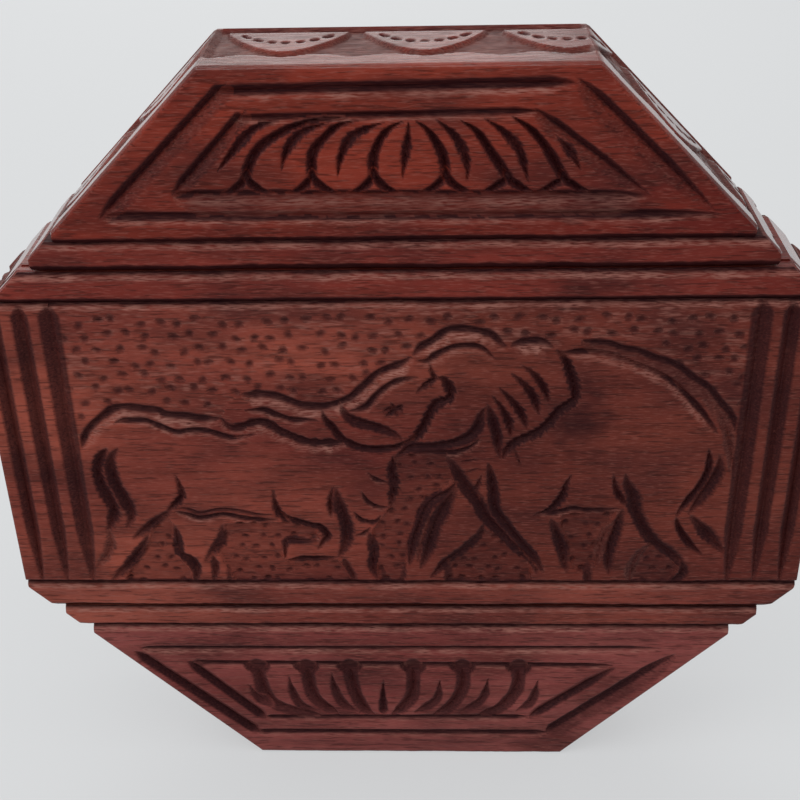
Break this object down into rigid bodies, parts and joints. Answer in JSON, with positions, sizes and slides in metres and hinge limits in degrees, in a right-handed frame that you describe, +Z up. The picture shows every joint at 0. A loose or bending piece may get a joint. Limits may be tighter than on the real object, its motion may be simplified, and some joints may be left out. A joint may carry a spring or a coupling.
{
  "type": "carved wooden puzzle box",
  "caption": "Thin octagonal puzzle box carved with elephants, standing on one edge, with a sliding lid, a hidden keyhole, a lock bolt and a hidden key tray.",
  "frame": {"origin": "middle of the underside that the box stands on", "axes": "+X to the right of the carved front, -Y out of the carved front, +Z up"},
  "size_m": [0.18, 0.03, 0.176],
  "materials": {
    "varnished_wood": "reddish-brown stained hardwood under a satin varnish, near black in the cuts",
    "inner_wood": "bare planed hardwood, unstained",
    "brass": "worn cast and filed brass"
  },
  "bodies": {
    "carcass": {"base_block": "varnished_wood", "base_board": "varnished_wood", "tray_stop_peg": "inner_wood", "floor_board": "varnished_wood", "front_panel": "varnished_wood", "back_panel": "varnished_wood", "left_end_block": "varnished_wood", "right_end_block": "varnished_wood", "rail_frame": "varnished_wood", "cover_stop_peg": "inner_wood", "escutcheon": "brass", "front_rail": "inner_wood", "back_rail": "inner_wood", "base_dowel_left": "inner_wood", "base_dowel_right": "inner_wood", "floor_dowel_left": "inner_wood", "floor_dowel_right": "inner_wood", "rail_dowel_left": "inner_wood", "rail_dowel_right": "inner_wood"},
    "tray": {"key_tray": "varnished_wood", "key": "brass"},
    "cover": {"keyhole_slide": "varnished_wood"},
    "bolt": {"lock_bolt": "brass"},
    "lid": {"lid_board": "varnished_wood", "lid_block": "varnished_wood", "lid_dowel_left": "inner_wood", "lid_dowel_right": "inner_wood"}
  },
  "joints": [
    {"name": "tray_slide", "type": "slide", "parent": "carcass", "child": "tray", "axis": [1, 0, 0], "range_m": [0, 0.075]},
    {"name": "cover_slide", "type": "slide", "parent": "carcass", "child": "cover", "axis": [-1, 0, 0], "range_m": [0, 0.028]},
    {"name": "bolt_lift", "type": "slide", "parent": "carcass", "child": "bolt", "axis": [0, 0, 1], "range_m": [0, 0.0024]},
    {"name": "lid_slide", "type": "slide", "parent": "carcass", "child": "lid", "axis": [-1, 0, 0], "range_m": [0, 0.16]}
  ]
}
